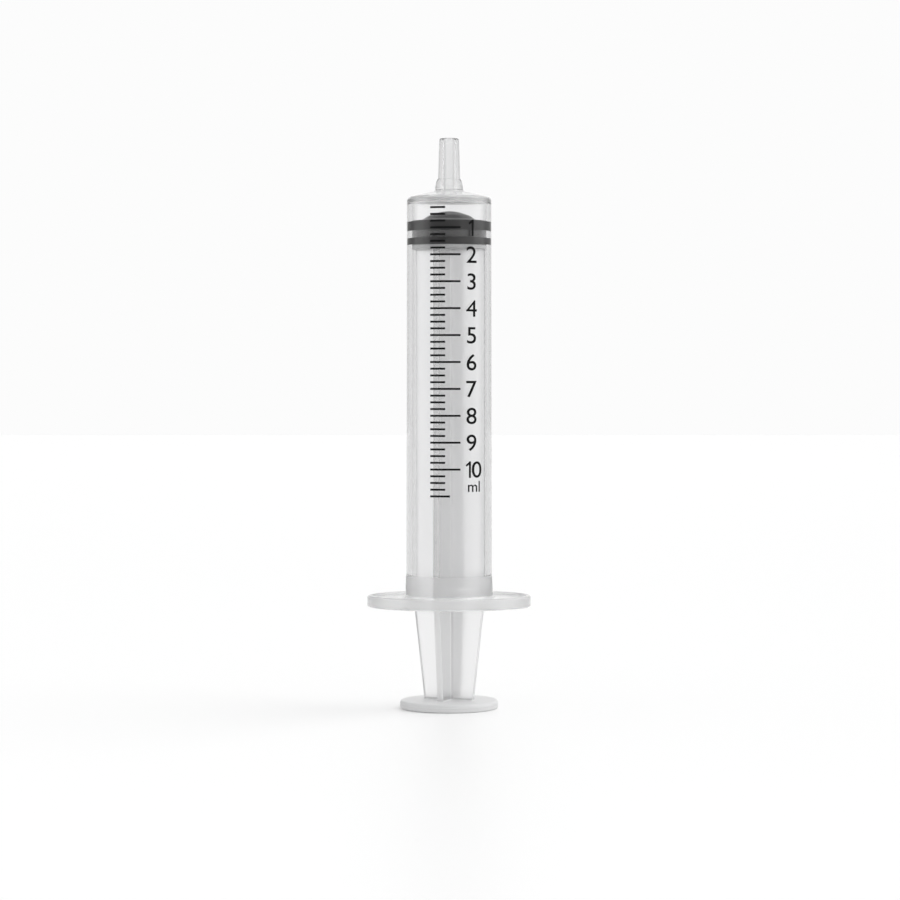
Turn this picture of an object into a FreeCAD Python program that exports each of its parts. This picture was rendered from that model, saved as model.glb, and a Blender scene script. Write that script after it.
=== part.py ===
"""Ten millilitre syringe in three pieces, standing on its thumb rest with the nozzle up.

Millimetres. The origin is the centre of the thumb rest's underside, and +Z is the
syringe's axis, towards the nozzle.
"""
import FreeCAD, Part
import math
import os

os.makedirs("parts", exist_ok=True)

# Barrel: the bore sets the millilitre, and the walls thin towards the shoulder as moulded
bore_diameter = 15.35
bore_depth = 82.25
wall_at_shoulder = 0.93
wall_at_flange = 1.05
roof_slope = 18.0
roof_bevel = 0.3
crown_thickness = 1.3
shoulder_slope = 12.5
shoulder_round = 0.9
shoulder_flat_count = 3

# Nozzle: a male slip taper of 6 in 100 on a low bell-shaped collar
tip_diameter = 4.0
taper_ratio = 0.06
taper_length = 8.3
collar_diameter = 5.72
collar_height = 2.44
collar_skirt_height = 0.44
collar_ledge = 0.15
collar_foot_bevel = 0.3
tip_bevel = 0.3
nozzle_bore_diameter = 2.1
nozzle_mouth_flare = 0.35
nozzle_mouth_height = 0.9

# Oval finger flange, its raised rim, and the band that stiffens the barrel above it
flange_width = 33.4
flange_depth = 27.0
flange_end_radius = 10.5
flange_thickness = 1.85
flange_edge_bevel = 0.3
rim_width = 1.25
rim_height = 0.5
rim_bevel = 0.4
band_height = 4.5
band_proud_at_top = 0.08
band_proud_at_foot = 0.22
band_bevel = 0.25
flange_fillet = 0.5

# Open end: a lead-in, and a bead that stops the rod from being pulled out
mouth_flare = 0.5
mouth_flare_height = 1.4
bead_height = 0.2
bead_width = 0.35
bead_bevel = 0.3
bead_setback = 3.5

# Stopper: two sealing rings, a groove between them and a rounded cone on top
seal_clearance = 0.015
rear_ring_height = 1.45
front_ring_height = 2.05
groove_height = 1.5
groove_depth = 0.3
groove_bevel = 0.25
stopper_lip = 0.25
cone_foot_radius = 6.4
cone_slope = 25.0
cone_nose_radius = 9.5

# Plunger rod: thumb rest, crossed ribs, front disc, and the head inside the stopper
thumb_rest_diameter = 20.1
thumb_rest_thickness = 1.7
thumb_rest_bevel = 0.6
thumb_rest_foot_bevel = 0.25
grip_groove_count = 2
grip_groove_pitch = 2.8
grip_groove_first = 4.2
grip_groove_width = 0.6
grip_groove_depth = 0.25
rod_length = 94.3
rib_thickness = 1.3
rib_turn = 20.0
rib_bead_clearance = 0.125
rib_taper_height = 18.5
rib_foot_reach = 5.2
rib_root_fillet = 0.6
rib_edge_round = 0.2
rib_foot_bevel = 0.35
front_disc_thickness = 0.8
front_disc_clearance = 0.075
neck_diameter = 4.0
neck_length = 1.5
head_diameter = 6.6
head_rim_height = 0.8
head_nose_diameter = 2.4
head_cone_height = 1.9
snap_clearance = 0.05

# How far the plunger can still go in, as the syringe stands
push_left = 3.7


def place(stop):
    """Point of the outline's plane for a (radius, height)."""
    return FreeCAD.Vector(stop[0], 0, stop[1])


def straight(start, end):
    """Straight run. A slightly tapered one is a spline of degree one: it meshes in one row."""
    line = Part.LineSegment(start, end)
    run = abs(start.x - end.x)
    climb = abs(start.z - end.z)
    slightly_tapered = 1e-9 < run < 0.05 * climb
    return line.toBSpline().toShape() if slightly_tapered else line.toShape()


def corner_ends(before, corner, after, setback):
    """Points at a setback from the corner, one on each of its two runs."""
    to_before = (before - corner).normalize()
    to_after = (after - corner).normalize()
    return [corner + to_before * setback, corner + to_after * setback]


def corner_flats(before, corner, after, radius, flats):
    """Points on a round of that radius in the corner, which make it of equal flats."""
    half = (before - corner).getAngle(after - corner) / 2
    start, end = corner_ends(before, corner, after, radius / math.tan(half))
    inward = ((start - corner) + (end - corner)).normalize()
    centre = corner + inward * (radius / math.sin(half))
    way = math.copysign(1, (start - centre).cross(end - centre).y)
    step = math.degrees(math.pi - 2 * half) * way / flats
    turns = [FreeCAD.Rotation(FreeCAD.Vector(0, 1, 0), step * number) for number in range(flats + 1)]
    return [centre + turn.multVec(start - centre) for turn in turns]


def outline(*stops):
    """Closed outline. A stop is a sharp corner (radius, height), a bevelled one (radius,
    height, setback), a round one (radius, height, round radius, flats), or an arc that
    ends there (point on the arc, end). The first stop is sharp.
    """
    first = place(stops[0])
    here = first
    edges = []
    for number, stop in enumerate(stops[1:], 1):
        following = stops[(number + 1) % len(stops)]
        if isinstance(stop[0], tuple):
            edges.append(Part.Arc(here, place(stop[0]), place(stop[1])).toShape())
            here = place(stop[1])
            continue
        points = [place(stop)]
        if len(stop) == 3:
            points = corner_ends(here, place(stop), place(following), stop[2])
        elif len(stop) == 4:
            points = corner_flats(here, place(stop), place(following), stop[2], stop[3])
        for point in points:
            edges.append(straight(here, point))
            here = point
    if here.distanceToPoint(first) > 1e-9:
        edges.append(straight(here, first))
    return Part.Face(Part.Wire(edges))


def turned(*stops):
    """Solid of revolution about the syringe's axis."""
    return outline(*stops).revolve(FreeCAD.Vector(0, 0, 0), FreeCAD.Vector(0, 0, 1), 360)


def rise(run, slope):
    """Height gained over a radial run at a slope in degrees."""
    return run * math.tan(math.radians(slope))


# Levels of the plunger, from the thumb rest up
bore_radius = bore_diameter / 2
bead_radius = bore_radius - bead_height
front_disc_foot = rod_length - front_disc_thickness
stopper_foot = rod_length
head_foot = rod_length + neck_length
head_rim_top = head_foot + head_rim_height
head_top = head_rim_top + head_cone_height

# Levels of the stopper: the cone's straight flank meets its rounded nose at a tangent
ring_radius = bore_radius - seal_clearance
groove_foot = stopper_foot + rear_ring_height
groove_top = groove_foot + groove_height
ring_top = groove_top + front_ring_height
nose_radius_at_flank = cone_nose_radius * math.sin(math.radians(cone_slope))
nose_height_at_flank = ring_top + rise(cone_foot_radius - nose_radius_at_flank, cone_slope)
nose_centre = nose_height_at_flank - cone_nose_radius * math.cos(math.radians(cone_slope))
stopper_top = nose_centre + cone_nose_radius

# The roof's cone stands push_left above the nose where their slopes are equal
roof_apex = nose_centre + cone_nose_radius / math.cos(math.radians(roof_slope)) + push_left
roof_corner = roof_apex - rise(bore_radius, roof_slope)
barrel_foot = roof_corner - bore_depth

# Levels of the barrel's outside
outer_radius_at_shoulder = bore_radius + wall_at_shoulder
outer_radius_at_flange = bore_radius + wall_at_flange
collar_radius = collar_diameter / 2
shoulder_edge = roof_corner + crown_thickness - rise(wall_at_shoulder, shoulder_slope)
collar_foot = shoulder_edge + rise(outer_radius_at_shoulder - collar_radius, shoulder_slope)
taper_foot = collar_foot + collar_height
tip_height = taper_foot + taper_length
tip_radius = tip_diameter / 2
taper_foot_radius = tip_radius + taper_ratio * taper_length / 2
flange_top = barrel_foot + flange_thickness
rim_top = flange_top + rim_height
band_top = flange_top + band_height


def oval(inset, level):
    """Face in the flange's oval outline, drawn in by an inset: two end arcs and two wider side
    arcs, which meet at tangents.
    """
    end_centre = flange_width / 2 - flange_end_radius
    wider = flange_depth / 2 - flange_end_radius
    side_centre = (end_centre**2 - wider**2) / (2 * wider)
    side_radius = flange_depth / 2 + side_centre - inset
    meeting_angle = math.atan2(end_centre, side_centre)
    meeting_x = side_radius * math.sin(meeting_angle)
    meeting_y = side_radius * math.cos(meeting_angle) - side_centre
    end_x = flange_width / 2 - inset
    side_y = flange_depth / 2 - inset
    middles = [(end_x, 0), (0, side_y), (-end_x, 0), (0, -side_y)]
    meetings = [(1, -1), (1, 1), (-1, 1), (-1, -1), (1, -1)]
    points = [FreeCAD.Vector(x * meeting_x, y * meeting_y, level) for x, y in meetings]
    arcs = []
    for (x, y), start, end in zip(middles, points, points[1:]):
        arcs.append(Part.Arc(start, FreeCAD.Vector(x, y, level), end).toShape())
    return Part.Face(Part.Wire(arcs))


def level_edges(solid, level):
    """Edges of a solid that lie at one height."""
    boxes = [(edge, edge.BoundBox) for edge in solid.Edges]
    return [edge for edge, box in boxes if max(abs(box.ZMin - level), abs(box.ZMax - level)) < 1e-6]


def finger_flange():
    """Oval plate with its edges bevelled, and a raised rim around its upper side."""
    plate = oval(0, barrel_foot).extrude(FreeCAD.Vector(0, 0, flange_thickness + rim_height))
    plate = plate.makeChamfer(flange_edge_bevel, level_edges(plate, barrel_foot))
    plate = plate.makeChamfer(rim_bevel, level_edges(plate, rim_top))
    recess = oval(rim_width - rim_height, flange_top).extrude(FreeCAD.Vector(0, 0, 2 * rim_height))
    recess = recess.makeChamfer(rim_height, level_edges(recess, flange_top))
    return plate.cut(recess)


def barrel_outside():
    """Nozzle, collar, shoulder, tube, band and flange, without the hollow."""
    bell_top = (taper_foot_radius + collar_ledge, taper_foot)
    bell_reach = collar_radius - bell_top[0]
    bell_height = collar_height - collar_skirt_height
    bell_curve = (bell_reach**2 + bell_height**2) / (2 * bell_reach)
    bell_half_angle = math.asin(bell_height / bell_curve) / 2
    bell_middle = (
        collar_radius - bell_curve * (1 - math.cos(bell_half_angle)),
        collar_foot + collar_skirt_height + bell_curve * math.sin(bell_half_angle),
    )
    band_foot_radius = outer_radius_at_flange + band_proud_at_foot
    upright = turned(
        (0, barrel_foot),
        (band_foot_radius + flange_fillet, barrel_foot),
        (band_foot_radius + flange_fillet, flange_top),
        (band_foot_radius, flange_top + flange_fillet),
        (outer_radius_at_flange + band_proud_at_top, band_top),
        (outer_radius_at_flange, band_top + band_bevel),
        (outer_radius_at_shoulder, shoulder_edge, shoulder_round, shoulder_flat_count),
        (collar_radius, collar_foot, collar_foot_bevel),
        (collar_radius, collar_foot + collar_skirt_height),
        (bell_middle, bell_top),
        (taper_foot_radius, taper_foot),
        (tip_radius, tip_height, tip_bevel),
        (0, tip_height),
    )
    return upright.fuse(finger_flange()).removeSplitter()


def barrel_hollow():
    """Lead-in, retaining bead, bore, roof, nozzle bore and its flare as one solid to cut away."""
    nozzle_bore_radius = nozzle_bore_diameter / 2
    roof_top = roof_corner + rise(bore_radius - nozzle_bore_radius, roof_slope)
    bead_foot = barrel_foot + bead_setback
    bead_top = bead_foot + bead_width
    return turned(
        (0, barrel_foot),
        (bore_radius + mouth_flare, barrel_foot),
        (bore_radius, barrel_foot + mouth_flare_height),
        (bore_radius, bead_foot - bead_bevel),
        (bead_radius, bead_foot),
        (bead_radius, bead_top),
        (bore_radius, bead_top + bead_bevel),
        (bore_radius, roof_corner, roof_bevel),
        (nozzle_bore_radius, roof_top),
        (nozzle_bore_radius, tip_height - nozzle_mouth_height),
        (nozzle_bore_radius + nozzle_mouth_flare, tip_height),
        (0, tip_height),
    )


def barrel():
    """One clear moulding: tube, flange, shoulder and nozzle."""
    return barrel_outside().cut(barrel_hollow())


def rod_head(clearance=0.0):
    """Neck and head that the stopper snaps over, or the pocket for them."""
    neck_radius = neck_diameter / 2 + clearance
    head_radius = head_diameter / 2 + clearance
    nose_radius = head_nose_diameter / 2
    return turned(
        (0, rod_length),
        (neck_radius, rod_length),
        (neck_radius, head_foot - clearance),
        (head_radius, head_foot - clearance),
        (head_radius, head_rim_top),
        (nose_radius + clearance, head_top + clearance),
        (0, head_top + clearance),
    )


def stopper():
    """Moulded rubber stopper: foot, two rings, the cone, and the pocket for the rod's head."""
    groove_radius = ring_radius - groove_depth
    nose_middle_angle = math.radians(cone_slope / 2)
    nose_middle = (
        cone_nose_radius * math.sin(nose_middle_angle),
        nose_centre + cone_nose_radius * math.cos(nose_middle_angle),
    )
    body = turned(
        (0, stopper_foot),
        (ring_radius, stopper_foot, stopper_lip),
        (ring_radius, groove_foot),
        (groove_radius, groove_foot + groove_bevel),
        (groove_radius, groove_top - groove_bevel),
        (ring_radius, groove_top),
        (ring_radius, ring_top, stopper_lip),
        (cone_foot_radius, ring_top),
        (nose_radius_at_flank, nose_height_at_flank),
        (nose_middle, (0, stopper_top)),
    )
    return body.cut(rod_head(snap_clearance))


def rib_pair(turn):
    """Two opposite ribs in one plate through the axis, narrower towards the thumb rest."""
    rib_reach = bead_radius - rib_bead_clearance
    foot = thumb_rest_thickness
    taper_top = foot + rib_taper_height
    corners = [
        (-rib_foot_reach, foot),
        (rib_foot_reach, foot),
        (rib_reach, taper_top),
        (rib_reach, front_disc_foot),
        (-rib_reach, front_disc_foot),
        (-rib_reach, taper_top),
    ]
    points = [FreeCAD.Vector(x, -rib_thickness / 2, z) for x, z in corners]
    face = Part.Face(Part.makePolygon(points + points[:1]))
    plate = face.extrude(FreeCAD.Vector(0, rib_thickness, 0))
    plate = plate.makeFillet(rib_edge_round, [edge for edge in plate.Edges if is_rib_edge(edge)])
    return plate.rotated(FreeCAD.Vector(0, 0, 0), FreeCAD.Vector(0, 0, 1), turn)


def is_rib_edge(edge):
    """True for the long outer edges of a rib plate, which run up it and not across it."""
    direction = edge.tangentAt(edge.FirstParameter)
    middle = edge.CenterOfMass
    return abs(direction.z) > 0.9 and abs(middle.x) > rib_foot_reach / 2


def ribs():
    """The four crossed ribs, filleted where they meet at the axis."""
    cross = rib_pair(-rib_turn).fuse(rib_pair(90 - rib_turn)).removeSplitter()
    roots = []
    for edge in cross.Edges:
        middle = edge.CenterOfMass
        runs_up = abs(edge.tangentAt(edge.FirstParameter).z) > 0.9
        if runs_up and math.hypot(middle.x, middle.y) < rib_thickness:
            roots.append(edge)
    return cross.makeFillet(rib_root_fillet, roots)


def thumb_rest():
    """Round foot of the rod, with its edges bevelled and grip grooves cut in its underside."""
    radius = thumb_rest_diameter / 2
    disc = turned(
        (0, 0),
        (radius, 0, thumb_rest_foot_bevel),
        (radius, thumb_rest_thickness, thumb_rest_bevel),
        (0, thumb_rest_thickness),
    )
    for number in range(grip_groove_count):
        middle = grip_groove_first + number * grip_groove_pitch
        groove = turned(
            (middle - grip_groove_width / 2, 0),
            (middle + grip_groove_width / 2, 0),
            (middle, grip_groove_depth),
        )
        disc = disc.cut(groove)
    return disc


def front_disc():
    """Disc that backs the stopper and meets the barrel's bead when the rod is drawn right out."""
    radius = bore_radius - front_disc_clearance
    return turned(
        (0, front_disc_foot),
        (radius, front_disc_foot),
        (radius, rod_length),
        (0, rod_length),
    )


def is_foot_edge(edge):
    """True for an edge where the ribs stand on the thumb rest."""
    box = edge.BoundBox
    on_top = abs(box.ZMin - thumb_rest_thickness) < 1e-4 and box.ZLength < 1e-4
    reach = max(abs(box.XMin), abs(box.XMax), abs(box.YMin), abs(box.YMax))
    return on_top and reach < rib_foot_reach + rib_thickness


def plunger_rod():
    """One clear moulding: thumb rest, ribs, front disc and head."""
    rod = ribs().fuse(thumb_rest()).removeSplitter()
    rod = rod.makeChamfer(rib_foot_bevel, [edge for edge in rod.Edges if is_foot_edge(edge)])
    return rod.fuse([front_disc(), rod_head()]).removeSplitter()


for make in (barrel, stopper, plunger_rod):
    node = make.__name__
    solid = make().Solids[0]
    print(node, "valid" if solid.isValid() else "not valid", f"{solid.Volume:.1f} mm3")
    solid.exportStep(f"parts/{node}.step")
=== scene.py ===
"""Looks of a ten millilitre syringe that stands on its thumb rest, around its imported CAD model."""
import math

import bmesh
import bpy
from mathutils import Matrix, Vector


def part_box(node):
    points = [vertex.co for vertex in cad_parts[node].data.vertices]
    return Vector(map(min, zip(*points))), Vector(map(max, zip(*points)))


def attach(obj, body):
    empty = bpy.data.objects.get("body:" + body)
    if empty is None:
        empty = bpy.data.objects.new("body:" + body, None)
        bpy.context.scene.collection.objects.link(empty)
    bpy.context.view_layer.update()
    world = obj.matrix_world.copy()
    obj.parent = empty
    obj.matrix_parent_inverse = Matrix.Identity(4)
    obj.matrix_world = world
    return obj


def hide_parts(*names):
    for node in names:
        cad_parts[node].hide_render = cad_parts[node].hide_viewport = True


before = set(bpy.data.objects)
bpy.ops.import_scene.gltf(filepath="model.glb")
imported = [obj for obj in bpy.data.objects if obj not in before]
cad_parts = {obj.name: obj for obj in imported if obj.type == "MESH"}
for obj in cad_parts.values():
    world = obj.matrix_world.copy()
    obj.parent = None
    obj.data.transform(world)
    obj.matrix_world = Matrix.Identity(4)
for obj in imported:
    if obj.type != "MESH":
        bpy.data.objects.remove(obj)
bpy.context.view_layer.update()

# Barrel: one clear polypropylene moulding with its nozzle, finger flange and the band above it.
# It comes from a polished mould, and its outside is drafted upwards so that it leaves the mould.
# The bore is straight, with a bead near the mouth that holds the plunger.
mm = 0.001
barrel_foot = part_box("barrel")[0].z / mm
nozzle_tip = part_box("barrel")[1].z / mm
bore_radius = 7.675
bore_depth = 82.25
tube_radius_at_shoulder = 8.605
tube_radius_at_band = 8.725
shoulder_edge = barrel_foot + 83.35
flange_top = barrel_foot + 1.85
band_top = flange_top + 4.5
flange_end = 16.7
flange_side = 13.5
flange_end_radius = 10.5
side_arc_radius = 18.407


def turned_mesh(corners, closed):
    """Mesh turned about the syringe's axis from corners (radius, height, setback) in millimetres.

    A corner with a setback is rounded. An outline that isn't closed begins and ends on the axis.
    """
    form = bmesh.new()
    points = [form.verts.new((radius * mm, 0, height * mm)) for radius, height, _ in corners]
    for here, there in zip(points, points[1:]):
        form.edges.new((here, there))
    if closed:
        form.edges.new((points[-1], points[0]))
    for point, (_, _, setback) in zip(points, corners):
        if setback:
            bmesh.ops.bevel(form, geom=[point], offset=setback * mm, segments=6, profile=0.5,
                            affect="VERTICES", material=-1)
    bmesh.ops.spin(form, geom=form.verts[:] + form.edges[:], cent=(0, 0, 0), axis=(0, 0, 1),
                   angle=math.tau, steps=160, use_merge=True)
    bmesh.ops.remove_doubles(form, verts=form.verts, dist=1e-7)
    bmesh.ops.recalc_face_normals(form, faces=form.faces)
    return form


def piece_from(form, name, materials, body, section=None):
    """Smooth-shaded object of a finished mesh, riding on its body.

    section gives the number of a face's material, where the piece has thick and thin sections.
    """
    if section:
        for face in form.faces:
            face.material_index = section(face)
    mesh = bpy.data.meshes.new(name)
    form.to_mesh(mesh)
    form.free()
    mesh.shade_smooth()
    mesh.set_sharp_from_angle(angle=math.radians(32))
    for material in materials:
        mesh.materials.append(material)
    piece = bpy.data.objects.new(name, mesh)
    bpy.context.scene.collection.objects.link(piece)
    weights = piece.modifiers.new("flat_faces_lead_the_shading", "WEIGHTED_NORMAL")
    weights.keep_sharp = True
    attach(piece, body)
    return piece


def mould_finish_group():
    """Surface left by a polished mould: slow waves along the flow, and rubs from handling."""
    group = bpy.data.node_groups.new("mould_finish", "ShaderNodeTree")
    for name in ("Roughness", "Roughness Spread"):
        group.interface.new_socket(name, in_out="INPUT", socket_type="NodeSocketFloat")
    for name in ("Roughness", "Height"):
        group.interface.new_socket(name, in_out="OUTPUT", socket_type="NodeSocketFloat")
    nodes = group.nodes
    links = group.links
    given = nodes.new("NodeGroupInput")
    result = nodes.new("NodeGroupOutput")
    place = nodes.new("ShaderNodeTexCoord")
    along = nodes.new("ShaderNodeMapping")
    along.inputs["Scale"].default_value = (1.0, 1.0, 0.16)
    links.new(place.outputs["Object"], along.inputs["Vector"])
    waves = nodes.new("ShaderNodeTexNoise")
    links.new(along.outputs["Vector"], waves.inputs["Vector"])
    waves.inputs["Scale"].default_value = 180.0
    waves.inputs["Detail"].default_value = 2.0
    links.new(waves.outputs["Fac"], result.inputs["Height"])
    rubs = nodes.new("ShaderNodeTexNoise")
    links.new(place.outputs["Object"], rubs.inputs["Vector"])
    rubs.inputs["Scale"].default_value = 75.0
    rubs.inputs["Detail"].default_value = 5.0
    roughness = nodes.new("ShaderNodeMath")
    roughness.operation = "MULTIPLY_ADD"
    links.new(rubs.outputs["Fac"], roughness.inputs[0])
    links.new(given.outputs["Roughness Spread"], roughness.inputs[1])
    links.new(given.outputs["Roughness"], roughness.inputs[2])
    links.new(roughness.outputs["Value"], result.inputs["Roughness"])
    return group


mould_finish = mould_finish_group()


def moulded_plastic(name, colour, slant_shade_colour, transmission, roughness, spread, wave_depth,
                    lamp_through, slant_range=(0.38, 0.62)):
    """Polypropylene, greyer where seen slantwise: painted shade for light's longer way through it.

    slant_range says how slanting it is when it starts to be greyer and when it is greyest, and
    lamp_through how much of a lamp's light passes it.
    """
    material = bpy.data.materials.new(name)
    material.use_nodes = True
    nodes = material.node_tree.nodes
    links = material.node_tree.links
    shader = nodes["Principled BSDF"]
    shader.inputs["IOR"].default_value = 1.49
    shader.inputs["Transmission Weight"].default_value = transmission
    slant = nodes.new("ShaderNodeLayerWeight")
    painted_slant_shade = nodes.new("ShaderNodeMapRange")
    painted_slant_shade.interpolation_type = "SMOOTHSTEP"
    painted_slant_shade.inputs["From Min"].default_value = slant_range[0]
    painted_slant_shade.inputs["From Max"].default_value = slant_range[1]
    links.new(slant.outputs["Facing"], painted_slant_shade.inputs["Value"])
    # Painted shade: the base colour greys where the surface is seen slantwise.
    tint = nodes.new("ShaderNodeMix")
    tint.data_type = "RGBA"
    tint.inputs["A"].default_value = (*colour, 1.0)
    tint.inputs["B"].default_value = (*slant_shade_colour, 1.0)
    links.new(painted_slant_shade.outputs["Result"], tint.inputs["Factor"])
    links.new(tint.outputs["Result"], shader.inputs["Base Color"])
    finish = nodes.new("ShaderNodeGroup")
    finish.node_tree = mould_finish
    finish.inputs["Roughness"].default_value = roughness
    finish.inputs["Roughness Spread"].default_value = spread
    links.new(finish.outputs["Roughness"], shader.inputs["Roughness"])
    bump = nodes.new("ShaderNodeBump")
    bump.inputs["Strength"].default_value = 0.6
    bump.inputs["Distance"].default_value = wave_depth
    links.new(finish.outputs["Height"], bump.inputs["Height"])
    links.new(bump.outputs["Normal"], shader.inputs["Normal"])
    lamp_ray = nodes.new("ShaderNodeLightPath")
    clear = nodes.new("ShaderNodeBsdfTransparent")
    clear.inputs["Color"].default_value = (lamp_through, lamp_through, lamp_through, 1.0)
    lets_lamps_through = nodes.new("ShaderNodeMixShader")
    links.new(lamp_ray.outputs["Is Shadow Ray"], lets_lamps_through.inputs["Fac"])
    links.new(shader.outputs["BSDF"], lets_lamps_through.inputs[1])
    links.new(clear.outputs["BSDF"], lets_lamps_through.inputs[2])
    links.new(lets_lamps_through.outputs["Shader"], nodes["Material Output"].inputs["Surface"])
    return material


# The slanting colours below are painted shade, greyer where the walls are seen slantwise.
barrel_wall = moulded_plastic(
    "barrel_wall", colour=(0.935, 0.935, 0.937), slant_shade_colour=(0.62, 0.622, 0.625),
    transmission=1.0, roughness=0.03, spread=0.04, wave_depth=0.002 * mm, lamp_through=0.96)
barrel_ends = moulded_plastic(
    "barrel_ends", colour=(0.98, 0.981, 0.983), slant_shade_colour=(0.94, 0.942, 0.945),
    transmission=0.62, roughness=0.16, spread=0.08, wave_depth=0.003 * mm, lamp_through=0.93)
barrel_nozzle = moulded_plastic(
    "barrel_nozzle", colour=(0.98, 0.981, 0.983), slant_shade_colour=(0.66, 0.662, 0.665),
    transmission=0.85, roughness=0.06, spread=0.05, wave_depth=0.002 * mm, lamp_through=0.93,
    slant_range=(0.1, 0.35))
barrel_band = moulded_plastic(
    "barrel_band", colour=(0.98, 0.981, 0.983), slant_shade_colour=(0.86, 0.862, 0.865),
    transmission=0.86, roughness=0.34, spread=0.05, wave_depth=0.002 * mm, lamp_through=0.93)


def barrel_section(face):
    """0 on the thin wall, 1 on the flange, shoulder and roof, 2 on the nozzle, 3 on the band."""
    centre = face.calc_center_median() / mm
    nozzle_starts = shoulder_edge + 1.3
    nozzle_reach = 3
    if centre.z > nozzle_starts and centre.xy.length < nozzle_reach:
        return 2
    outside = centre.xy.length > tube_radius_at_band
    band_starts = flange_top + 0.6
    if band_starts < centre.z < band_top + 0.1 and outside:
        return 3
    shoulder_starts = shoulder_edge - 0.45
    return int(centre.z <= band_starts and outside or centre.z > shoulder_starts)


def barrel_outline():
    """Closed outline of the barrel's wall: up the outside, over the nozzle and down the bore."""
    rim_top = flange_top + 0.5
    rim_inside = flange_end - 1.25
    collar_radius = 2.86
    collar_foot = shoulder_edge + 1.274
    taper_foot = collar_foot + 2.44
    nozzle_bore_radius = 1.05
    roof_corner = barrel_foot + bore_depth
    roof_top = roof_corner + 2.153
    bead_foot = barrel_foot + 3.5
    return [
        (bore_radius + 0.5, barrel_foot, 0.12),
        (flange_end, barrel_foot, 0.4),
        (flange_end, rim_top, 0.45),
        (rim_inside + 0.5, rim_top, 0.15),
        (rim_inside, flange_top, 0.25),
        (tube_radius_at_band + 0.22, flange_top, 0.7),
        (tube_radius_at_band + 0.06, band_top - 0.1, 0.15),
        (tube_radius_at_band, band_top + 0.3, 0.2),
        (tube_radius_at_shoulder, shoulder_edge, 0.75),
        (collar_radius, collar_foot, 0.4),
        (collar_radius, collar_foot + 1.49, 1.04),
        (2.4, taper_foot, 0.08),
        (2.249, taper_foot, 0.06),
        (2.0, nozzle_tip, 0.3),
        (nozzle_bore_radius + 0.35, nozzle_tip, 0.1),
        (nozzle_bore_radius, nozzle_tip - 0.9, 0.3),
        (nozzle_bore_radius, roof_top, 0.3),
        (bore_radius, roof_corner, 0.35),
        (bore_radius, bead_foot + 0.65, 0.17),
        (bore_radius - 0.2, bead_foot + 0.35, 0.17),
        (bore_radius - 0.2, bead_foot, 0.17),
        (bore_radius, bead_foot - 0.3, 0.17),
        (bore_radius, barrel_foot + 1.4, 0.3),
    ]


def reach_of_oval(turn):
    """Distance from the axis to the flange's oval edge: two end arcs, and two wider side arcs."""
    across = abs(math.cos(turn))
    along = abs(math.sin(turn))
    arcs_meet_at = math.radians(24.3)
    if math.atan2(along, across) < arcs_meet_at:
        start, radius, way = flange_end - flange_end_radius, flange_end_radius, across
    else:
        start, radius, way = side_arc_radius - flange_side, side_arc_radius, -along
    return way * start + math.sqrt(radius**2 - start**2 * (1 - way**2))


def barrel_form():
    """The barrel's wall turned about the axis, with the flange's rim moved in to its oval plan."""
    form = turned_mesh(barrel_outline(), closed=True)
    rim_starts = 11 * mm
    for vert in form.verts:
        reach = vert.co.xy.length
        if vert.co.z < band_top * mm and reach > rim_starts:
            moved = 1 + (reach_of_oval(math.atan2(vert.co.y, vert.co.x)) - flange_end) * mm / reach
            vert.co.x *= moved
            vert.co.y *= moved
    return form


barrel = piece_from(barrel_form(), "clear_barrel",
                    [barrel_wall, barrel_ends, barrel_nozzle, barrel_band],
                    "barrel", section=barrel_section)
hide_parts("barrel")

# Scale: black ink printed on the front of the barrel by a roller, a mark for each quarter of a
# millilitre, with a longer one and a numeral at each whole one. The ink is a film of some
# hundredths of a millimetre that follows the tube's draft.
scale_zero = barrel_foot + 82.27
millilitre = 5.404
ink_thickness = 0.02
ink_sunk = 0.01


def wrapped_on_tube(form):
    """Bends a flat form of metres (arc, 0, height) round the tube's front and gives it its film."""
    for vert in form.verts:
        climb = (vert.co.z / mm - band_top) / (shoulder_edge - band_top)
        radius = tube_radius_at_band + (tube_radius_at_shoulder - tube_radius_at_band) * climb
        turn = vert.co.x / mm / radius
        radius += ink_thickness
        vert.co = (radius * math.sin(turn) * mm, -radius * math.cos(turn) * mm, vert.co.z)
    bmesh.ops.recalc_face_normals(form, faces=form.faces)
    for face in form.faces:
        outwards = face.calc_center_median()
        if face.normal.dot(Vector((outwards.x, outwards.y, 0))) < 0:
            face.normal_flip()
    bmesh.ops.solidify(form, geom=form.faces[:], thickness=(ink_thickness + ink_sunk) * mm)
    bmesh.ops.recalc_face_normals(form, faces=form.faces)


def cut_into_strips(form, width):
    """Cuts a flat form upright every so many millimetres, so that it can bend."""
    low = min(vert.co.x for vert in form.verts)
    high = max(vert.co.x for vert in form.verts)
    for number in range(1, math.ceil((high - low) / (width * mm))):
        bmesh.ops.bisect_plane(form, geom=form.verts[:] + form.edges[:] + form.faces[:], dist=1e-8,
                               plane_co=(low + number * width * mm, 0, 0), plane_no=(1, 0, 0))


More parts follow.
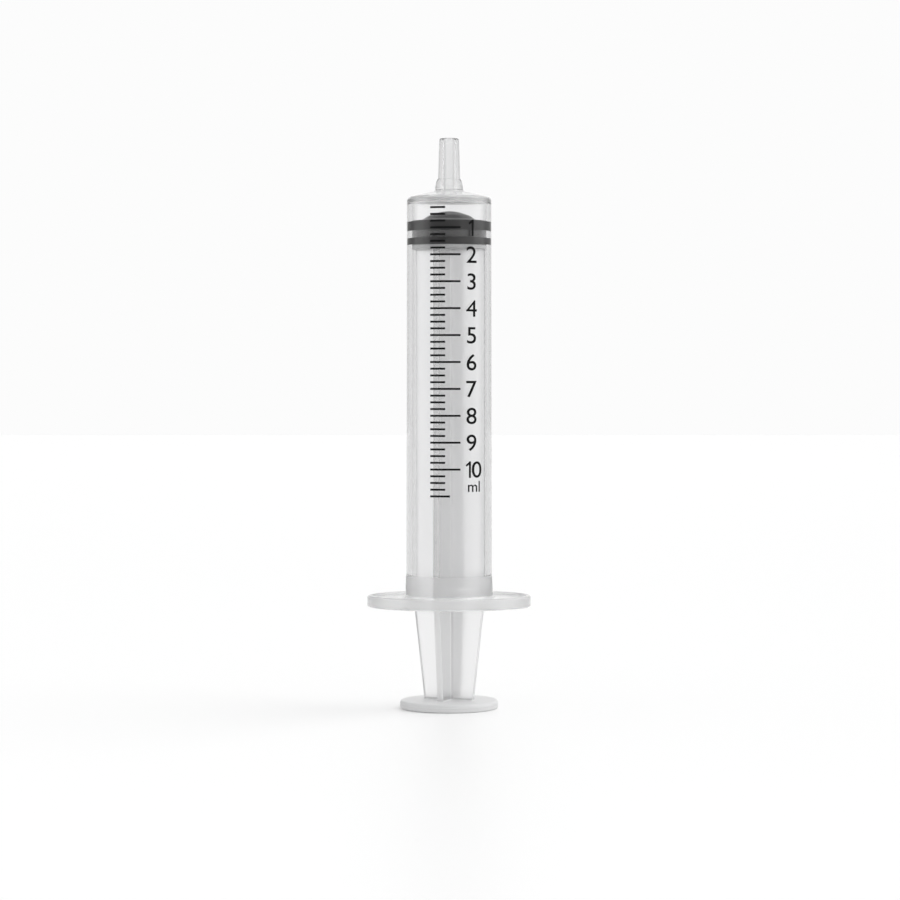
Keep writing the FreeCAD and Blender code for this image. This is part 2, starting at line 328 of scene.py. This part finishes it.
def printed_ink():
    """Print ink: nearly black, slightly uneven where the roller laid it thinner."""
    material = bpy.data.materials.new("scale_ink")
    material.use_nodes = True
    nodes = material.node_tree.nodes
    links = material.node_tree.links
    shader = nodes["Principled BSDF"]
    place = nodes.new("ShaderNodeTexCoord")
    patches = nodes.new("ShaderNodeTexNoise")
    patches.inputs["Scale"].default_value = 1800.0
    patches.inputs["Detail"].default_value = 4.0
    links.new(place.outputs["Object"], patches.inputs["Vector"])
    tone = nodes.new("ShaderNodeValToRGB")
    tone.color_ramp.elements[0].color = (0.002, 0.002, 0.002, 1)
    tone.color_ramp.elements[1].color = (0.012, 0.012, 0.013, 1)
    links.new(patches.outputs["Fac"], tone.inputs["Fac"])
    links.new(tone.outputs["Color"], shader.inputs["Base Color"])
    sheen = nodes.new("ShaderNodeMapRange")
    sheen.inputs["To Min"].default_value = 0.45
    sheen.inputs["To Max"].default_value = 0.65
    links.new(patches.outputs["Fac"], sheen.inputs["Value"])
    links.new(sheen.outputs["Result"], shader.inputs["Roughness"])
    shader.inputs["Specular IOR Level"].default_value = 0.1
    return material


scale_ink = printed_ink()


def arc_at(degrees):
    """Distance round the tube from its front, in metres."""
    return math.radians(degrees) * (tube_radius_at_band + tube_radius_at_shoulder) / 2 * mm


def scale_marks():
    """Marks at each quarter, from a quarter to eleven millilitres."""
    marks_start = arc_at(-26.0)
    short_mark_end = arc_at(-5.3)
    long_mark_end = arc_at(15.3)
    last_mark_end = arc_at(1.1)
    mark_height = 0.4 * mm
    last_quarter = 44
    upright = Matrix.Rotation(math.pi / 2, 4, "X")
    form = bmesh.new()
    for quarter in range(1, last_quarter + 1):
        mark_end = long_mark_end if quarter % 4 == 0 else short_mark_end
        if quarter == last_quarter:
            mark_end = last_mark_end
        level = (scale_zero - millilitre * quarter / 4) * mm
        middle = Matrix.Translation(((marks_start + mark_end) / 2, 0, level))
        size = Matrix.Diagonal((mark_end - marks_start, mark_height, 1, 1))
        bmesh.ops.create_grid(form, x_segments=12, y_segments=1, size=0.5,
                              matrix=middle @ upright @ size)
    wrapped_on_tube(form)
    return form


def flat_text(words, height, centre_arc, centre_height, stretch):
    """Flat form of a numeral or unit, centred at a place on the unrolled tube.

    Its outline is set outwards a little, except that of a 4, whose counter would close.
    """
    boldness = 0.005
    curve = bpy.data.curves.new("words", "FONT")
    curve.body = words
    curve.resolution_u = 5
    curve.offset = 0.0 if words == "4" else boldness
    holder = bpy.data.objects.new("words", curve)
    bpy.context.scene.collection.objects.link(holder)
    bpy.context.view_layer.update()
    evaluated = holder.evaluated_get(bpy.context.evaluated_depsgraph_get())
    outline = bpy.data.meshes.new_from_object(evaluated)
    form = bmesh.new()
    form.from_mesh(outline)
    bpy.data.objects.remove(holder)
    bpy.data.curves.remove(curve)
    bpy.data.meshes.remove(outline)
    xs = [vert.co.x for vert in form.verts]
    ys = [vert.co.y for vert in form.verts]
    size = height * mm / (max(ys) - min(ys))
    middle = Vector(((max(xs) + min(xs)) / 2, (max(ys) + min(ys)) / 2, 0))
    bmesh.ops.translate(form, verts=form.verts, vec=-middle)
    bmesh.ops.scale(form, verts=form.verts, vec=(size * stretch, size, 1))
    bmesh.ops.rotate(form, verts=form.verts, cent=(0, 0, 0),
                     matrix=Matrix.Rotation(math.pi / 2, 3, "X"))
    bmesh.ops.translate(form, verts=form.verts, vec=(centre_arc, 0, centre_height * mm))
    bmesh.ops.remove_doubles(form, verts=form.verts, dist=1e-7)
    return form


def numeral_one(height, centre_arc, centre_height):
    """Flat form of a 1: an upright bar with a slanting flag at its head."""
    form = bmesh.new()
    middle = Matrix.Translation((centre_arc, 0, centre_height * mm))
    upright = Matrix.Rotation(math.pi / 2, 4, "X")
    stem = Matrix.Translation((0.35 * mm, 0, 0)) @ Matrix.Diagonal((0.46 * mm, height * mm, 1, 1))
    flag_place = Matrix.Translation((-0.07 * mm, (height / 2 - 0.55) * mm, 0))
    flag_slant = Matrix.Rotation(math.radians(38), 4, "Z")
    flag = flag_place @ flag_slant @ Matrix.Diagonal((1.1 * mm, 0.4 * mm, 1, 1))
    for part in (stem, flag):
        bmesh.ops.create_grid(form, x_segments=4, y_segments=1, size=0.5,
                              matrix=middle @ upright @ part)
    return form


def scale_words():
    """Numerals of the whole millilitres and the unit under the last one."""
    numeral_height = 3.33
    unit_height = 2.2
    strip_width = 0.3
    levels = {number: scale_zero - millilitre * number - 0.04 for number in range(1, 11)}
    unit_level = scale_zero - millilitre * 10 - 3.45
    flats = [numeral_one(numeral_height, arc_at(30.8), levels[1]),
             numeral_one(numeral_height, arc_at(26.6), levels[10])]
    flats += [flat_text(str(number), numeral_height, arc_at(31.6), levels[number], stretch=1.15)
              for number in range(2, 10)]
    flats.append(flat_text("0", numeral_height, arc_at(40.2), levels[10], stretch=1.22))
    flats.append(flat_text("ml", unit_height, arc_at(35.7), unit_level, stretch=1.06))
    whole = bmesh.new()
    for form in flats:
        cut_into_strips(form, strip_width)
        wrapped_on_tube(form)
        mesh = bpy.data.meshes.new("words")
        form.to_mesh(mesh)
        form.free()
        whole.from_mesh(mesh)
        bpy.data.meshes.remove(mesh)
    return whole


piece_from(scale_marks(), "scale_marks", [scale_ink], "barrel")
piece_from(scale_words(), "scale_numerals", [scale_ink], "barrel")

# Stopper: moulded black rubber with two sealing rings and a rounded cone, snapped over the head
# of the plunger rod. Its rings are wetted with silicone and squeezed flat by the bore, so no air
# is left between them and the clear wall; they reach a hair into the wall for that.
stopper_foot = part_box("stopper")[0].z / mm
stopper_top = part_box("stopper")[1].z / mm
ring_radius = bore_radius + 0.03
groove_radius = 7.55
groove_foot = stopper_foot + 1.45
groove_top = groove_foot + 1.5
ring_top = groove_top + 2.05


def rubber(name, tones, reflectance):
    """Black rubber: fine grain under a thin film of silicone, and paler where it faces up, a painted
    highlight.
    """
    material = bpy.data.materials.new(name)
    material.use_nodes = True
    nodes = material.node_tree.nodes
    links = material.node_tree.links
    shader = nodes["Principled BSDF"]
    place = nodes.new("ShaderNodeTexCoord")
    grain = nodes.new("ShaderNodeTexNoise")
    grain.inputs["Scale"].default_value = 5200.0
    grain.inputs["Detail"].default_value = 3.0
    film = nodes.new("ShaderNodeTexNoise")
    film.inputs["Scale"].default_value = 320.0
    film.inputs["Detail"].default_value = 4.0
    for texture in (grain, film):
        links.new(place.outputs["Object"], texture.inputs["Vector"])
    tone = nodes.new("ShaderNodeValToRGB")
    for element, grey in zip(tone.color_ramp.elements, tones):
        element.color = (grey, grey, grey, 1)
    links.new(film.outputs["Fac"], tone.inputs["Fac"])
    surface = nodes.new("ShaderNodeNewGeometry")
    upward = nodes.new("ShaderNodeSeparateXYZ")
    links.new(surface.outputs["True Normal"], upward.inputs["Vector"])
    # Painted highlight: faces that point up are made paler, for the light they catch from above.
    faces_up_for_highlight = nodes.new("ShaderNodeMapRange")
    faces_up_for_highlight.inputs["From Min"].default_value = 0.92
    links.new(upward.outputs["Z"], faces_up_for_highlight.inputs["Value"])
    painted_top_highlight = nodes.new("ShaderNodeMix")
    painted_top_highlight.data_type = "RGBA"
    painted_top_highlight.inputs["B"].default_value = (0.2, 0.2, 0.2, 1)
    links.new(faces_up_for_highlight.outputs["Result"], painted_top_highlight.inputs["Factor"])
    links.new(tone.outputs["Color"], painted_top_highlight.inputs["A"])
    links.new(painted_top_highlight.outputs["Result"], shader.inputs["Base Color"])
    shader.inputs["IOR"].default_value = 1.5
    shader.inputs["Specular IOR Level"].default_value = reflectance
    gloss = nodes.new("ShaderNodeMapRange")
    gloss.inputs["To Min"].default_value = 0.24
    gloss.inputs["To Max"].default_value = 0.36
    links.new(film.outputs["Fac"], gloss.inputs["Value"])
    links.new(gloss.outputs["Result"], shader.inputs["Roughness"])
    bump = nodes.new("ShaderNodeBump")
    bump.inputs["Strength"].default_value = 0.5
    bump.inputs["Distance"].default_value = 0.015 * mm
    links.new(grain.outputs["Fac"], bump.inputs["Height"])
    links.new(bump.outputs["Normal"], shader.inputs["Normal"])
    return material


# The rings are the groove's rubber; their paler tones are a painted sheen, put in their colour where
# their reflectance is turned down.
dry_rubber = rubber("dry_rubber", tones=(0.01, 0.02), reflectance=1.0)
wetted_rubber_painted_sheen = rubber("wetted_rubber_painted_sheen", tones=(0.075, 0.115), reflectance=0.1)


def stopper_section(face):
    """1 on the rings, whose wetted rubber touches the wall and hardly reflects; 0 elsewhere."""
    rings_start = bore_radius - 0.06
    return int(face.calc_center_median().xy.length > rings_start * mm)


def stopper_outline():
    """Outline from the pocket for the rod's head round to the tip of the cone.

    The cone stays just under the barrel's roof when the plunger is pushed home.
    """
    head_foot = stopper_foot + 1.5
    return [
        (0, head_foot + 2.75, 0),
        (1.25, head_foot + 2.75, 0),
        (3.35, head_foot + 0.8, 0),
        (3.35, head_foot - 0.05, 0),
        (2.05, head_foot - 0.05, 0.1),
        (2.05, stopper_foot, 0.1),
        (ring_radius, stopper_foot, 0.25),
        (ring_radius, groove_foot, 0.15),
        (groove_radius, groove_foot + 0.25, 0.1),
        (groove_radius, groove_top - 0.25, 0.1),
        (ring_radius, groove_top, 0.15),
        (ring_radius, ring_top, 0.3),
        (6.4, ring_top, 0.15),
        (5.3, ring_top + 0.3, 0.5),
        (4.35, ring_top + 1.04, 0.6),
        (1.5, stopper_top - 0.03, 1.1),
        (0, stopper_top, 0),
    ]


stopper = piece_from(turned_mesh(stopper_outline(), closed=False), "rubber_stopper",
                     [dry_rubber, wetted_rubber_painted_sheen], "stopper", section=stopper_section)
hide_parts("stopper")

# Plunger rod: natural polypropylene, slightly milky, moulded in one: thumb rest, four crossed
# ribs, the disc that backs the stopper, and the head that the stopper snaps over.
rest_radius = 10.05
rest_thickness = 1.7
rod_length = stopper_foot
front_disc_foot = rod_length - 0.8
taper_top = rest_thickness + 18.5
rib_turn = math.radians(-20)

rib_sides = moulded_plastic(
    "rib_sides", colour=(0.985, 0.985, 0.987), slant_shade_colour=(0.96, 0.962, 0.965),
    transmission=1.0, roughness=0.28, spread=0.06, wave_depth=0.001 * mm, lamp_through=0.9)
rib_edges = moulded_plastic(
    "rib_edges", colour=(0.98, 0.981, 0.983), slant_shade_colour=(0.95, 0.951, 0.953),
    transmission=1.0, roughness=0.2, spread=0.04, wave_depth=0.001 * mm, lamp_through=0.9)
foot_sides = moulded_plastic(
    "foot_sides", colour=(0.91, 0.91, 0.912), slant_shade_colour=(0.84, 0.842, 0.845),
    transmission=1.0, roughness=0.28, spread=0.06, wave_depth=0.001 * mm, lamp_through=0.9)
foot_edges = moulded_plastic(
    "foot_edges", colour=(0.96, 0.961, 0.963), slant_shade_colour=(0.94, 0.941, 0.943),
    transmission=0.5, roughness=0.3, spread=0.05, wave_depth=0.001 * mm, lamp_through=0.9)
rod_ends = moulded_plastic(
    "rod_ends", colour=(0.93, 0.932, 0.935), slant_shade_colour=(0.9, 0.902, 0.905),
    transmission=0.25, roughness=0.3, spread=0.12, wave_depth=0.004 * mm, lamp_through=0.05)


def rod_section(face):
    """0 on the ribs' sides, 1 on the thumb rest and front disc, 2 on the ribs' edges.

    3 and 4 are the sides and edges of the ribs' tapered feet, which are greyer.
    """
    centre = face.calc_center_median() / mm
    rest_fillet_top = rest_thickness + 0.4
    if centre.z < rest_fillet_top or centre.z > front_disc_foot - 0.02:
        return 1
    faces_outwards = face.normal.xy.dot(centre.xy.normalized()) > 0.3
    edge = centre.xy.length > 4 and faces_outwards
    if centre.z < taper_top:
        return 4 if edge else 3
    return 2 if edge else 0


def crossed_ribs():
    """Four ribs in a cross, drawn as one section, raised, and drawn in towards the thumb rest."""
    rib_reach = 7.35 * mm
    half_rib = 0.65 * mm
    ribs_foot = 0.8 * mm
    ribs_top = front_disc_foot + 0.4
    drawn_in_by = 2.255 * mm
    root_setback = 0.6 * mm
    tip_setback = 0.12 * mm
    form = bmesh.new()
    quarter = [(rib_reach, -half_rib), (rib_reach, half_rib), (half_rib, half_rib)]
    points = []
    for number in range(4):
        turn = Matrix.Rotation(number * math.pi / 2, 3, "Z")
        points += [form.verts.new(turn @ Vector((x, y, ribs_foot))) for x, y in quarter]
    form.faces.new(points)
    roots = [vert for vert in form.verts if vert.co.length < 3 * mm]
    bmesh.ops.bevel(form, geom=roots, offset=root_setback, segments=5, profile=0.5,
                    affect="VERTICES", material=-1)
    tips = [vert for vert in form.verts if vert.co.length > 5 * mm]
    bmesh.ops.bevel(form, geom=tips, offset=tip_setback, segments=3, profile=0.5,
                    affect="VERTICES", material=-1)
    for level in (taper_top, ribs_top):
        top = max(form.faces, key=lambda face: face.calc_center_median().z)
        raised = bmesh.ops.extrude_face_region(form, geom=[top])
        new_verts = [item for item in raised["geom"] if isinstance(item, bmesh.types.BMVert)]
        if level == ribs_top:
            bmesh.ops.delete(form, geom=[top], context="FACES_ONLY")
        for vert in new_verts:
            vert.co.z = level * mm
    for vert in form.verts:
        if vert.co.z < rest_thickness * mm:
            for axis in (0, 1):
                if abs(vert.co[axis]) > 5 * mm:
                    vert.co[axis] -= math.copysign(drawn_in_by, vert.co[axis])
    bmesh.ops.rotate(form, verts=form.verts, cent=(0, 0, 0), matrix=Matrix.Rotation(rib_turn, 3, "Z"))
    bmesh.ops.recalc_face_normals(form, faces=form.faces)
    return form


def disc_and_head_outline():
    """Outline of the disc behind the stopper, the neck and the head."""
    head_foot = rod_length + 1.5
    radius = bore_radius - 0.075
    return [
        (0, front_disc_foot, 0),
        (radius, front_disc_foot, 0.15),
        (radius, rod_length, 0.15),
        (2.0, rod_length, 0.2),
        (2.0, head_foot, 0.1),
        (3.3, head_foot, 0.1),
        (3.3, head_foot + 0.8, 0.1),
        (1.2, head_foot + 2.7, 0.3),
        (0, head_foot + 2.7, 0),
    ]


def thumb_rest_outline():
    """Outline of the thumb rest, with two grip grooves underneath and the mould's parting line."""
    side_radius = rest_radius - 0.03
    parting_line = 0.95
    groove_middles = (4.2, 7.0)
    corners = [(0, 0, 0)]
    for middle in groove_middles:
        corners += [(middle - 0.3, 0, 0.05), (middle, 0.25, 0.05), (middle + 0.3, 0, 0.05)]
    return corners + [
        (side_radius, 0, 0.4),
        (side_radius, parting_line - 0.08, 0),
        (rest_radius + 0.02, parting_line, 0),
        (side_radius, parting_line + 0.08, 0),
        (side_radius, rest_thickness, 0.6),
        (0, rest_thickness, 0),
    ]


def object_of(form, name):
    """Bare object of a form, for a boolean."""
    mesh = bpy.data.meshes.new(name)
    form.to_mesh(mesh)
    form.free()
    bare = bpy.data.objects.new(name, mesh)
    bpy.context.scene.collection.objects.link(bare)
    return bare


def plunger_rod_form():
    """Thumb rest, ribs, disc and head joined to one closed skin, with a fillet at the ribs' foot."""
    whole = object_of(crossed_ribs(), "whole")
    others = [object_of(turned_mesh(thumb_rest_outline(), closed=False), "rest"),
              object_of(turned_mesh(disc_and_head_outline(), closed=False), "head")]
    for other in others:
        join = whole.modifiers.new("join", "BOOLEAN")
        join.operation = "UNION"
        join.solver = "EXACT"
        join.object = other
    bpy.context.view_layer.update()
    evaluated = whole.evaluated_get(bpy.context.evaluated_depsgraph_get())
    joined = bpy.data.meshes.new_from_object(evaluated)
    form = bmesh.new()
    form.from_mesh(joined)
    for bare in (whole, *others):
        bpy.data.objects.remove(bare)
    bmesh.ops.remove_doubles(form, verts=form.verts, dist=1e-7)
    foot = []
    for edge in form.edges:
        flat = all(abs(vert.co.z - rest_thickness * mm) < 1e-7 for vert in edge.verts)
        steep = len(edge.link_faces) == 2 and edge.calc_face_angle() > 1.0
        if flat and steep and max(vert.co.xy.length for vert in edge.verts) < 6 * mm:
            foot.append(edge)
    bmesh.ops.bevel(form, geom=foot, offset=0.35 * mm, segments=4, profile=0.5,
                    affect="EDGES", material=-1)
    bmesh.ops.recalc_face_normals(form, faces=form.faces)
    return form


rod = piece_from(plunger_rod_form(), "plunger_rod_moulding",
                 [rib_sides, rod_ends, rib_edges, foot_sides, foot_edges],
                 "plunger_rod", section=rod_section)
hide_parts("plunger_rod")

# Stage: white table that runs out of sight, soft room light, and a wide lamp at the upper right
# that throws the soft shadow to the left. Only gloss shows the soft boxes at both sides, and only
# clear walls show the dimmer place high in front.
background = 0.974


def maths(nodes, links, operation, first, second):
    """Value of a maths node on two sockets, or on a socket and a number."""
    node = nodes.new("ShaderNodeMath")
    node.operation = operation
    for given, socket in zip((first, second), node.inputs):
        if isinstance(given, float):
            socket.default_value = given
        else:
            links.new(given, socket)
    return node.outputs["Value"]


def mixed_colour(nodes, links, share, first, second):
    """Colour between two greys or sockets, the second one by its share."""
    node = nodes.new("ShaderNodeMix")
    node.data_type = "RGBA"
    links.new(share, node.inputs["Factor"])
    for given, socket in ((first, node.inputs["A"]), (second, node.inputs["B"])):
        if isinstance(given, float):
            socket.default_value = (given, given, given, 1)
        else:
            links.new(given, socket)
    return node.outputs["Result"]


def smooth_step(nodes, links, value, low, high):
    """0 where the value is at low, 1 where it is at high, and smooth between them."""
    node = nodes.new("ShaderNodeMapRange")
    node.interpolation_type = "SMOOTHSTEP"
    node.inputs["From Min"].default_value = low
    node.inputs["From Max"].default_value = high
    links.new(value, node.inputs["Value"])
    return node.outputs["Result"]


def floor_material():
    """White table that keeps the shadow, lifted part of the way to the background where seen."""
    lift = 0.15
    material = bpy.data.materials.new("white_table")
    material.use_nodes = True
    nodes = material.node_tree.nodes
    links = material.node_tree.links
    table = nodes["Principled BSDF"]
    table.inputs["Base Color"].default_value = (0.985, 0.985, 0.985, 1)
    table.inputs["Roughness"].default_value = 0.38
    table.inputs["Specular IOR Level"].default_value = 0.35
    ray = nodes.new("ShaderNodeLightPath").outputs
    seen = maths(nodes, links, "MAXIMUM", ray["Is Camera Ray"], ray["Is Transmission Ray"])
    glow = nodes.new("ShaderNodeEmission")
    glow.inputs["Color"].default_value = (background, background, background, 1)
    lifted = nodes.new("ShaderNodeMixShader")
    links.new(maths(nodes, links, "MULTIPLY", seen, lift), lifted.inputs["Fac"])
    links.new(table.outputs["BSDF"], lifted.inputs[1])
    links.new(glow.outputs["Emission"], lifted.inputs[2])
    links.new(lifted.outputs["Shader"], nodes["Material Output"].inputs["Surface"])
    return material


floor_form = bmesh.new()
bmesh.ops.create_grid(floor_form, x_segments=1, y_segments=1, size=3.0,
                      matrix=Matrix.Translation((0, 0, -0.03 * mm)))
floor_mesh = bpy.data.meshes.new("table")
floor_form.to_mesh(floor_mesh)
floor_form.free()
floor_mesh.materials.append(floor_material())
floor = bpy.data.objects.new("table", floor_mesh)
bpy.context.scene.collection.objects.link(floor)


def gloss_colour(nodes, links, direction):
    """What gloss mirrors, by the turn from the camera's side: soft boxes left and right."""
    brightness = ((-180, 0.99), (-162, 0.94), (-148, 0.45), (-115, 0.45), (-103, 1.3), (-80, 1.5),
                  (-62, 0.9), (-48, 0.15), (0, 0.03), (18, 0.08), (35, 0.45), (66, 0.5), (78, 1.2),
                  (104, 1.2), (116, 0.45), (148, 0.45), (162, 0.94), (180, 0.99))
    towards_camera = maths(nodes, links, "MULTIPLY", direction["Y"], -1.0)
    turn = maths(nodes, links, "ARCTAN2", direction["X"], towards_camera)
    share_of_turn = nodes.new("ShaderNodeMapRange")
    share_of_turn.inputs["From Min"].default_value = -math.pi
    share_of_turn.inputs["From Max"].default_value = math.pi
    links.new(turn, share_of_turn.inputs["Value"])
    room = nodes.new("ShaderNodeValToRGB")
    ramp = room.color_ramp.elements
    while len(ramp) < len(brightness):
        ramp.new(0.5)
    for stop, (degrees, grey) in zip(ramp, brightness):
        stop.position = (degrees + 180) / 360
        stop.color = (grey, grey, grey, 1)
    links.new(share_of_turn.outputs["Result"], room.inputs["Fac"])
    return room.outputs["Color"]


def light_room(world):
    """Gives the world its light: plain for diffuse rays, and its own for gloss, walls and camera."""
    room_light = 0.68
    dim_light = 0.62
    nodes = world.node_tree.nodes
    links = world.node_tree.links
    ray = nodes.new("ShaderNodeLightPath").outputs
    apart = nodes.new("ShaderNodeSeparateXYZ")
    links.new(nodes.new("ShaderNodeTexCoord").outputs["Generated"], apart.inputs["Vector"])
    direction = apart.outputs
    gloss = gloss_colour(nodes, links, direction)
    unseen = mixed_colour(nodes, links, ray["Is Glossy Ray"], room_light, gloss)
    high_up = smooth_step(nodes, links, direction["Z"], 0.4, 0.8)
    in_front = smooth_step(nodes, links, direction["Y"], 0.3, -0.3)
    dim_place = maths(nodes, links, "MULTIPLY", high_up, in_front)
    dim_through = maths(nodes, links, "MULTIPLY", dim_place, ray["Is Transmission Ray"])
    backdrop = mixed_colour(nodes, links, dim_through, background, dim_light)
    seen = maths(nodes, links, "MAXIMUM", ray["Is Camera Ray"], ray["Is Transmission Ray"])
    colour = mixed_colour(nodes, links, seen, unseen, backdrop)
    links.new(colour, nodes["Background"].inputs["Color"])


world = bpy.data.worlds.new("white_room")
bpy.context.scene.world = world
world.use_nodes = True
light_room(world)

lamp = bpy.data.lights.new("wide_lamp", "SUN")
lamp.energy = 1.5
lamp.angle = math.radians(50)
lamp_holder = bpy.data.objects.new("wide_lamp", lamp)
lamp_holder.rotation_euler = Vector((-0.62, -0.1, -0.78)).to_track_quat("-Z", "Y").to_euler()
lamp_holder.visible_glossy = False
lamp_holder.visible_transmission = False
bpy.context.scene.collection.objects.link(lamp_holder)

camera = bpy.data.cameras.new("camera")
camera.lens = 111.0
camera.sensor_width = 36.0
camera_holder = bpy.data.objects.new("camera", camera)
camera_holder.location = (0.00018, -0.566, 0.0663)
camera_holder.rotation_euler = (math.radians(90 - 1.375), 0, 0)
bpy.context.scene.collection.objects.link(camera_holder)
bpy.context.scene.camera = camera_holder
bpy.context.scene.view_settings.view_transform = "Standard"
